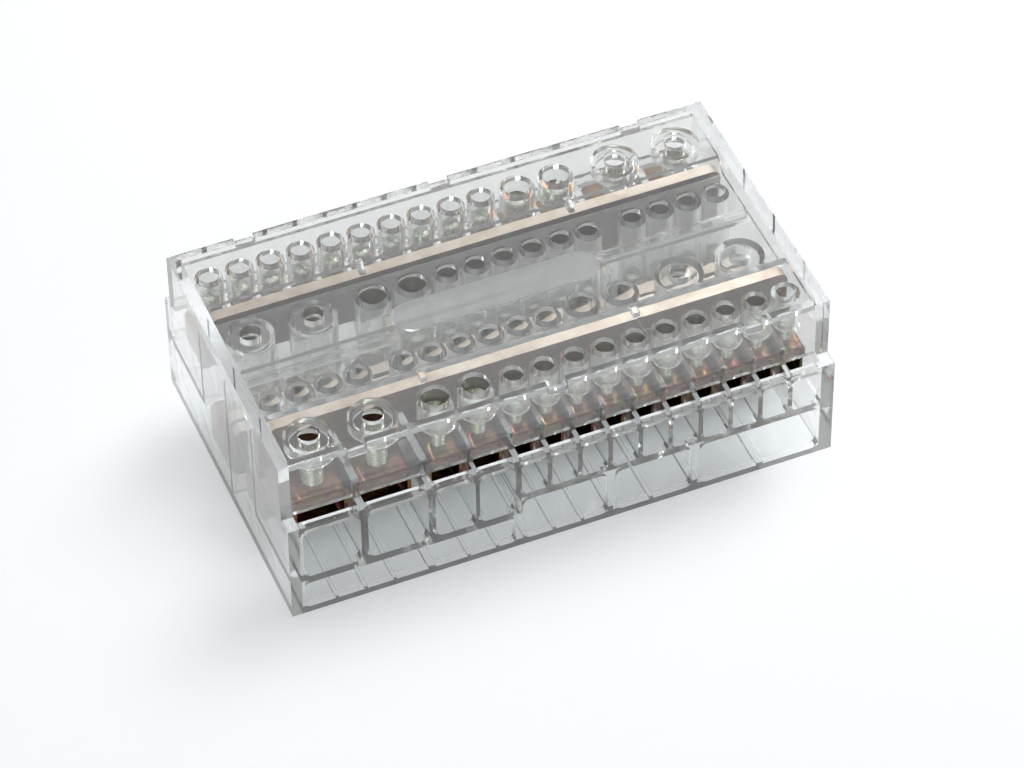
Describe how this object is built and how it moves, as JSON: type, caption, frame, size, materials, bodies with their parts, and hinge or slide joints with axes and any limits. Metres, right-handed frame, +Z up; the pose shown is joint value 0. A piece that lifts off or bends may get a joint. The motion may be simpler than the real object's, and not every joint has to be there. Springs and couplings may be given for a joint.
{
  "type": "power distribution block",
  "caption": "Clear-housed four-pole power distribution block with busbars on two levels, rising-cage screw terminals and a lift-off lid with guide tubes.",
  "frame": {"origin": "middle of the flat underside", "axes": "+X along the length, with the front row's large terminals at -X; +Y from the front long side to the back one; +Z up through the lid"},
  "size_m": [0.14, 0.084, 0.0465],
  "materials": {
    "clear_plastic": "gloss",
    "copper": "satin",
    "plated_cage": "satin",
    "zinc_screw": "satin"
  },
  "bodies": {
    "base": {"base": "clear_plastic", "busbar_1": "copper", "busbar_2": "copper", "busbar_3": "copper", "busbar_4": "copper", "small_cages_1": "plated_cage", "small_cages_2": "plated_cage", "small_cages_3": "plated_cage", "small_cages_4": "plated_cage", "small_screws_1": "zinc_screw", "small_screws_2": "zinc_screw", "small_screws_3": "zinc_screw", "small_screws_4": "zinc_screw"},
    "lid": {"lid": "clear_plastic"},
    "large_cage_1a": {"large_cage_1a": "plated_cage"},
    "large_screw_1a": {"large_screw_1a": "zinc_screw"},
    "medium_cage_1a": {"medium_cage_1a": "plated_cage"},
    "medium_screw_1a": {"medium_screw_1a": "zinc_screw"},
    "large_cage_1b": {"large_cage_1b": "plated_cage"},
    "large_screw_1b": {"large_screw_1b": "zinc_screw"},
    "medium_cage_1b": {"medium_cage_1b": "plated_cage"},
    "medium_screw_1b": {"medium_screw_1b": "zinc_screw"},
    "large_cage_2a": {"large_cage_2a": "plated_cage"},
    "large_screw_2a": {"large_screw_2a": "zinc_screw"},
    "medium_cage_2a": {"medium_cage_2a": "plated_cage"},
    "medium_screw_2a": {"medium_screw_2a": "zinc_screw"},
    "large_cage_2b": {"large_cage_2b": "plated_cage"},
    "large_screw_2b": {"large_screw_2b": "zinc_screw"},
    "medium_cage_2b": {"medium_cage_2b": "plated_cage"},
    "medium_screw_2b": {"medium_screw_2b": "zinc_screw"},
    "large_cage_3a": {"large_cage_3a": "plated_cage"},
    "large_screw_3a": {"large_screw_3a": "zinc_screw"},
    "medium_cage_3a": {"medium_cage_3a": "plated_cage"},
    "medium_screw_3a": {"medium_screw_3a": "zinc_screw"},
    "large_cage_3b": {"large_cage_3b": "plated_cage"},
    "large_screw_3b": {"large_screw_3b": "zinc_screw"},
    "medium_cage_3b": {"medium_cage_3b": "plated_cage"},
    "medium_screw_3b": {"medium_screw_3b": "zinc_screw"},
    "large_cage_4a": {"large_cage_4a": "plated_cage"},
    "large_screw_4a": {"large_screw_4a": "zinc_screw"},
    "medium_cage_4a": {"medium_cage_4a": "plated_cage"},
    "medium_screw_4a": {"medium_screw_4a": "zinc_screw"},
    "large_cage_4b": {"large_cage_4b": "plated_cage"},
    "large_screw_4b": {"large_screw_4b": "zinc_screw"},
    "medium_cage_4b": {"medium_cage_4b": "plated_cage"},
    "medium_screw_4b": {"medium_screw_4b": "zinc_screw"}
  },
  "joints": [
    {"name": "lid_lift", "type": "slide", "parent": "base", "child": "lid", "axis": [0, 0, 1], "range_m": [0, 0.03]},
    {"name": "large_screw_1a_turn", "type": "hinge", "parent": "base", "child": "large_screw_1a", "pos_m": [0.059, 0.02845, 0.035], "axis": [0, 0, -1], "range_deg": [0, 2160]},
    {"name": "large_cage_1a_rise", "type": "slide", "parent": "base", "child": "large_cage_1a", "axis": [0, 0, 1], "range_m": [0, 0.006]},
    {"name": "medium_screw_1a_turn", "type": "hinge", "parent": "base", "child": "medium_screw_1a", "pos_m": [0.0275, 0.0289, 0.035], "axis": [0, 0, -1], "range_deg": [0, 2880]},
    {"name": "medium_cage_1a_rise", "type": "slide", "parent": "base", "child": "medium_cage_1a", "axis": [0, 0, 1], "range_m": [0, 0.0056]},
    {"name": "large_screw_1b_turn", "type": "hinge", "parent": "base", "child": "large_screw_1b", "pos_m": [0.043, 0.02845, 0.035], "axis": [0, 0, -1], "range_deg": [0, 2160]},
    {"name": "large_cage_1b_rise", "type": "slide", "parent": "base", "child": "large_cage_1b", "axis": [0, 0, 1], "range_m": [0, 0.006]},
    {"name": "medium_screw_1b_turn", "type": "hinge", "parent": "base", "child": "medium_screw_1b", "pos_m": [0.0173, 0.0289, 0.035], "axis": [0, 0, -1], "range_deg": [0, 2880]},
    {"name": "medium_cage_1b_rise", "type": "slide", "parent": "base", "child": "medium_cage_1b", "axis": [0, 0, 1], "range_m": [0, 0.0056]},
    {"name": "large_screw_2a_turn", "type": "hinge", "parent": "base", "child": "large_screw_2a", "pos_m": [-0.059, 0.0106, 0.0192], "axis": [0, 0, -1], "range_deg": [0, 2160]},
    {"name": "large_cage_2a_rise", "type": "slide", "parent": "base", "child": "large_cage_2a", "axis": [0, 0, 1], "range_m": [0, 0.006]},
    {"name": "medium_screw_2a_turn", "type": "hinge", "parent": "base", "child": "medium_screw_2a", "pos_m": [-0.0275, 0.01105, 0.0192], "axis": [0, 0, -1], "range_deg": [0, 2880]},
    {"name": "medium_cage_2a_rise", "type": "slide", "parent": "base", "child": "medium_cage_2a", "axis": [0, 0, 1], "range_m": [0, 0.0056]},
    {"name": "large_screw_2b_turn", "type": "hinge", "parent": "base", "child": "large_screw_2b", "pos_m": [-0.043, 0.0106, 0.0192], "axis": [0, 0, -1], "range_deg": [0, 2160]},
    {"name": "large_cage_2b_rise", "type": "slide", "parent": "base", "child": "large_cage_2b", "axis": [0, 0, 1], "range_m": [0, 0.006]},
    {"name": "medium_screw_2b_turn", "type": "hinge", "parent": "base", "child": "medium_screw_2b", "pos_m": [-0.0173, 0.01105, 0.0192], "axis": [0, 0, -1], "range_deg": [0, 2880]},
    {"name": "medium_cage_2b_rise", "type": "slide", "parent": "base", "child": "medium_cage_2b", "axis": [0, 0, 1], "range_m": [0, 0.0056]},
    {"name": "large_screw_3a_turn", "type": "hinge", "parent": "base", "child": "large_screw_3a", "pos_m": [0.059, -0.0106, 0.0192], "axis": [0, 0, -1], "range_deg": [0, 2160]},
    {"name": "large_cage_3a_rise", "type": "slide", "parent": "base", "child": "large_cage_3a", "axis": [0, 0, 1], "range_m": [0, 0.006]},
    {"name": "medium_screw_3a_turn", "type": "hinge", "parent": "base", "child": "medium_screw_3a", "pos_m": [0.0275, -0.01105, 0.0192], "axis": [0, 0, -1], "range_deg": [0, 2880]},
    {"name": "medium_cage_3a_rise", "type": "slide", "parent": "base", "child": "medium_cage_3a", "axis": [0, 0, 1], "range_m": [0, 0.0056]},
    {"name": "large_screw_3b_turn", "type": "hinge", "parent": "base", "child": "large_screw_3b", "pos_m": [0.043, -0.0106, 0.0192], "axis": [0, 0, -1], "range_deg": [0, 2160]},
    {"name": "large_cage_3b_rise", "type": "slide", "parent": "base", "child": "large_cage_3b", "axis": [0, 0, 1], "range_m": [0, 0.006]},
    {"name": "medium_screw_3b_turn", "type": "hinge", "parent": "base", "child": "medium_screw_3b", "pos_m": [0.0173, -0.01105, 0.0192], "axis": [0, 0, -1], "range_deg": [0, 2880]},
    {"name": "medium_cage_3b_rise", "type": "slide", "parent": "base", "child": "medium_cage_3b", "axis": [0, 0, 1], "range_m": [0, 0.0056]},
    {"name": "large_screw_4a_turn", "type": "hinge", "parent": "base", "child": "large_screw_4a", "pos_m": [-0.059, -0.02845, 0.035], "axis": [0, 0, -1], "range_deg": [0, 2160]},
    {"name": "large_cage_4a_rise", "type": "slide", "parent": "base", "child": "large_cage_4a", "axis": [0, 0, 1], "range_m": [0, 0.006]},
    {"name": "medium_screw_4a_turn", "type": "hinge", "parent": "base", "child": "medium_screw_4a", "pos_m": [-0.0275, -0.0289, 0.035], "axis": [0, 0, -1], "range_deg": [0, 2880]},
    {"name": "medium_cage_4a_rise", "type": "slide", "parent": "base", "child": "medium_cage_4a", "axis": [0, 0, 1], "range_m": [0, 0.0056]},
    {"name": "large_screw_4b_turn", "type": "hinge", "parent": "base", "child": "large_screw_4b", "pos_m": [-0.043, -0.02845, 0.035], "axis": [0, 0, -1], "range_deg": [0, 2160]},
    {"name": "large_cage_4b_rise", "type": "slide", "parent": "base", "child": "large_cage_4b", "axis": [0, 0, 1], "range_m": [0, 0.006]},
    {"name": "medium_screw_4b_turn", "type": "hinge", "parent": "base", "child": "medium_screw_4b", "pos_m": [-0.0173, -0.0289, 0.035], "axis": [0, 0, -1], "range_deg": [0, 2880]},
    {"name": "medium_cage_4b_rise", "type": "slide", "parent": "base", "child": "medium_cage_4b", "axis": [0, 0, 1], "range_m": [0, 0.0056]}
  ],
  "couplings": [
    {"joint": "large_screw_1a_turn", "follows": "large_cage_1a_rise", "rad_per_m": 6283.2},
    {"joint": "medium_screw_1a_turn", "follows": "medium_cage_1a_rise", "rad_per_m": 8976},
    {"joint": "large_screw_1b_turn", "follows": "large_cage_1b_rise", "rad_per_m": 6283.2},
    {"joint": "medium_screw_1b_turn", "follows": "medium_cage_1b_rise", "rad_per_m": 8976},
    {"joint": "large_screw_2a_turn", "follows": "large_cage_2a_rise", "rad_per_m": 6283.2},
    {"joint": "medium_screw_2a_turn", "follows": "medium_cage_2a_rise", "rad_per_m": 8976},
    {"joint": "large_screw_2b_turn", "follows": "large_cage_2b_rise", "rad_per_m": 6283.2},
    {"joint": "medium_screw_2b_turn", "follows": "medium_cage_2b_rise", "rad_per_m": 8976},
    {"joint": "large_screw_3a_turn", "follows": "large_cage_3a_rise", "rad_per_m": 6283.2},
    {"joint": "medium_screw_3a_turn", "follows": "medium_cage_3a_rise", "rad_per_m": 8976},
    {"joint": "large_screw_3b_turn", "follows": "large_cage_3b_rise", "rad_per_m": 6283.2},
    {"joint": "medium_screw_3b_turn", "follows": "medium_cage_3b_rise", "rad_per_m": 8976},
    {"joint": "large_screw_4a_turn", "follows": "large_cage_4a_rise", "rad_per_m": 6283.2},
    {"joint": "medium_screw_4a_turn", "follows": "medium_cage_4a_rise", "rad_per_m": 8976},
    {"joint": "large_screw_4b_turn", "follows": "large_cage_4b_rise", "rad_per_m": 6283.2},
    {"joint": "medium_screw_4b_turn", "follows": "medium_cage_4b_rise", "rad_per_m": 8976}
  ]
}
